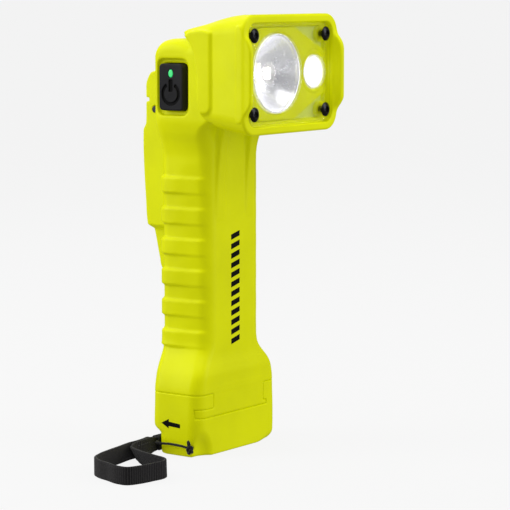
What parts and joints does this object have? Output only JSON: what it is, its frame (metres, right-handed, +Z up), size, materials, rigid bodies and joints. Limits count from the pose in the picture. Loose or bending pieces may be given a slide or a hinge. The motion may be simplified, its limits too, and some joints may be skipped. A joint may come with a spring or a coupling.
{
  "type": "firefighter flashlight",
  "caption": "Right-angle flashlight on a flared base, with a spot and flood head, a side push button, a sprung rear clip, a slide-off tail cap and a wrist lanyard.",
  "frame": {"origin": "middle of the base, on the surface the flashlight stands on, half way across its width", "axes": "+Z up along the handle, the beams leave along -Y, the clip is on +Y, the power button is on -X"},
  "size_m": [0.1324, 0.0809, 0.205],
  "materials": {
    "yellow_plastic": "hi-vis yellow moulded plastic, satin to semi-gloss",
    "clear_plastic": "clear polycarbonate, polished",
    "button_rubber": "charcoal moulded rubber, matt",
    "black_rubber": "black seal rubber, matt",
    "black_plastic": "black moulded plastic, matt",
    "black_steel": "black oxide steel, semi-gloss",
    "steel": "bright plated steel",
    "silvered": "silvered reflector, mirror bright",
    "aluminium": "bare aluminium, satin",
    "circuit_board": "green circuit board",
    "white_board": "white LED board",
    "led": "lit LED phosphor",
    "diffuser": "frosted window, lit from behind",
    "green_lamp": "lit green indicator",
    "cell_jacket": "printed cell jacket with no text, gloss",
    "webbing": "black ribbed webbing",
    "cord_fibre": "black twisted cord"
  },
  "bodies": {
    "housing": {"handle_housing": "yellow_plastic", "head_housing": "yellow_plastic", "lens_plate": "clear_plastic", "reflector_carrier": "yellow_plastic", "spot_reflector": "silvered", "flood_reflector": "silvered", "flood_diffuser": "diffuser", "spot_led": "led", "flood_led": "led", "led_board": "white_board", "heat_sink": "aluminium", "lens_screw_1": "black_steel", "lens_screw_2": "black_steel", "lens_screw_3": "black_steel", "lens_screw_4": "black_steel", "switch_board": "circuit_board", "driver_board": "circuit_board", "battery_tray": "black_plastic", "tray_seal": "black_rubber", "cell_1": "cell_jacket", "cell_2": "cell_jacket", "cell_3": "cell_jacket", "contact_spring_1": "steel", "contact_spring_2": "steel", "clip_bracket": "black_steel", "clip_screw_1": "steel", "clip_screw_2": "steel", "clip_pin": "black_steel", "clip_spring": "steel"},
    "cap": {"tail_cap": "yellow_plastic", "tray_pressure_pad": "black_rubber", "lanyard_cord": "cord_fibre", "lanyard_knot": "cord_fibre", "lanyard_stop_knot": "cord_fibre", "lanyard_ferrule": "black_plastic", "lanyard_strap": "webbing"},
    "button": {"power_button": "button_rubber", "indicator_lamp": "green_lamp", "button_plunger": "black_plastic"},
    "clip": {"clip_lever": "yellow_plastic"}
  },
  "joints": [
    {"name": "cap_slide", "type": "slide", "parent": "housing", "child": "cap", "axis": [0, 1, 0], "range_m": [0, 0.03]},
    {"name": "button_press", "type": "slide", "parent": "housing", "child": "button", "axis": [1, 0, 0], "range_m": [0, 0.001], "stiffness_N_per_m": 2500},
    {"name": "clip_hinge", "type": "hinge", "parent": "housing", "child": "clip", "pos_m": [0, 0.0225, 0.16], "axis": [1, 0, 0], "range_deg": [0, 16], "stiffness_Nm_per_rad": 1.2, "springref_deg": -8.59}
  ]
}
